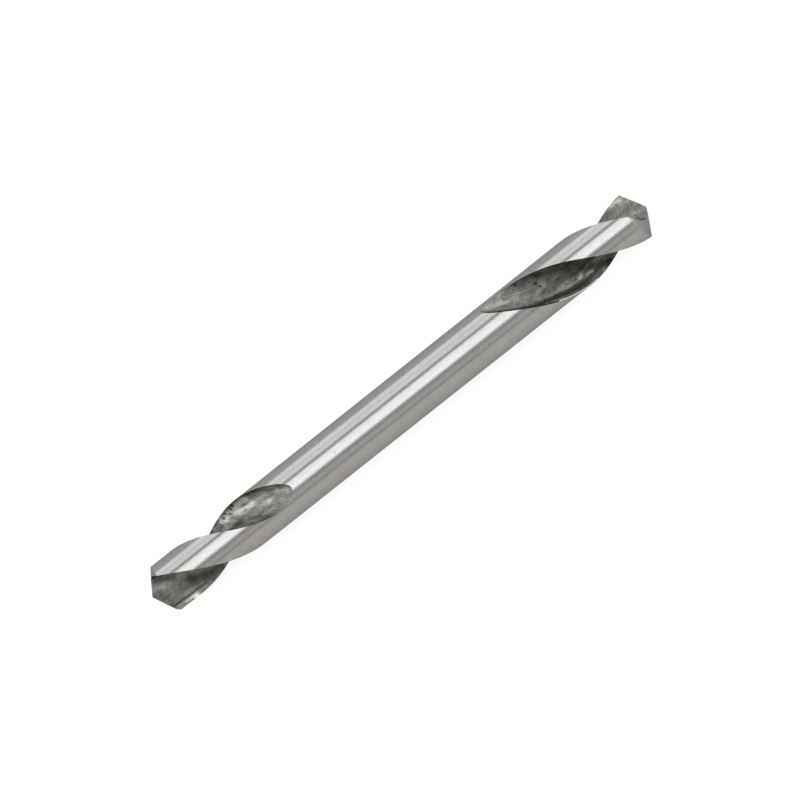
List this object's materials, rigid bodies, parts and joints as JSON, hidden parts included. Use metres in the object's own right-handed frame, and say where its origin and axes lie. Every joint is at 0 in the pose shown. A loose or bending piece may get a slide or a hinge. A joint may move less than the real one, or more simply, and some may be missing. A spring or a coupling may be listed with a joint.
{
  "type": "stub drill bit",
  "caption": "Short solid twist drill, pointed and fluted at both ends, with a plain cylindrical shank between.",
  "frame": {"origin": "on the drill's axis, midway between the two points", "axes": "+X along the drill's axis towards the front point, the one on the right in the picture; the flutes are right-hand at both ends"},
  "size_m": [0.0614, 0.0052, 0.0052],
  "materials": {
    "steel": "fine ground lands and shank, darker rough flutes"
  },
  "bodies": {
    "root": {"drill_bit": "steel"}
  },
  "joints": []
}
